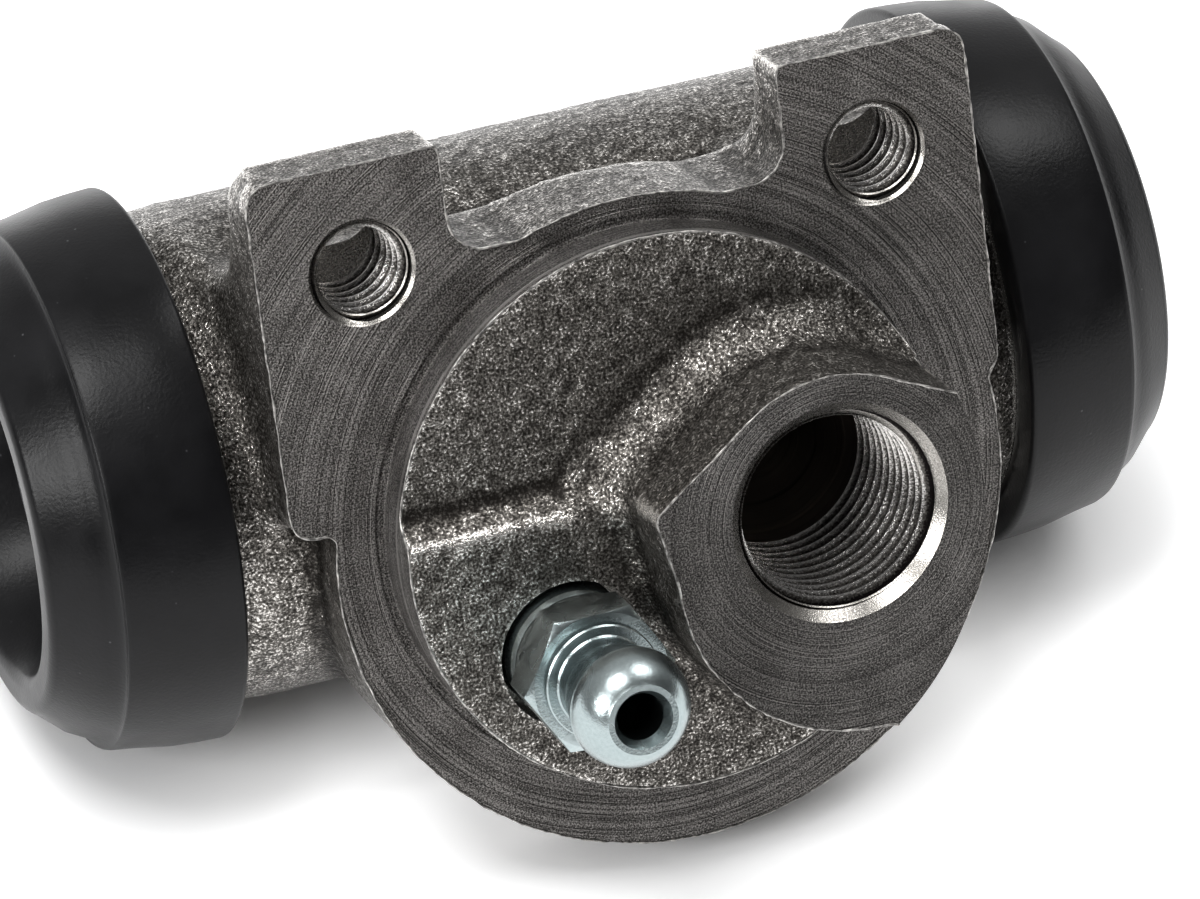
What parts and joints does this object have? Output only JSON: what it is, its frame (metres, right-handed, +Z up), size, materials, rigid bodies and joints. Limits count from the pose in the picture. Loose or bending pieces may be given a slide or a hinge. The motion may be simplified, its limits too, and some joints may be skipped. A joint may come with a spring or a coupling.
{
  "type": "wheel cylinder",
  "caption": "Drum-brake wheel cylinder: cast-iron body with a round spigot and bolt ears, threaded inlet, bleed screw, and opposed slotted pistons under rubber boots.",
  "frame": {"origin": "centre of the spigot on the mounting face of the flange", "axes": "+X along the cylinder bore, -Y out of the mounting face through the backing plate, +Z up towards the ears"},
  "size_m": [0.0706, 0.0509, 0.0455],
  "materials": {
    "casting": "rough cast, machined faces",
    "zinc_steel": "bright zinc plate",
    "boot_rubber": "satin moulded rubber",
    "piston_alloy": "turned",
    "seal_rubber": "smooth moulded rubber",
    "pressed_steel": "bright steel"
  },
  "bodies": {
    "cylinder": {"body": "casting", "left_boot": "boot_rubber", "right_boot": "boot_rubber", "return_spring": "pressed_steel"},
    "left_plunger": {"left_piston": "piston_alloy", "left_cup": "seal_rubber", "left_expander": "pressed_steel"},
    "right_plunger": {"right_piston": "piston_alloy", "right_cup": "seal_rubber", "right_expander": "pressed_steel"},
    "bleeder": {"bleed_screw": "zinc_steel"}
  },
  "joints": [
    {"name": "left_piston_slide", "type": "slide", "parent": "cylinder", "child": "left_plunger", "axis": [-1, 0, 0], "range_m": [-0.0025, 0.005], "deforming": ["left_boot", "return_spring"]},
    {"name": "right_piston_slide", "type": "slide", "parent": "cylinder", "child": "right_plunger", "axis": [1, 0, 0], "range_m": [-0.0025, 0.005], "deforming": ["right_boot", "return_spring"]},
    {"name": "bleed_screw_turn", "type": "hinge", "parent": "cylinder", "child": "bleeder", "pos_m": [-0.0075, -0.0075, -0.00665], "axis": [0, -1, 0], "range_deg": [0, 180]}
  ]
}
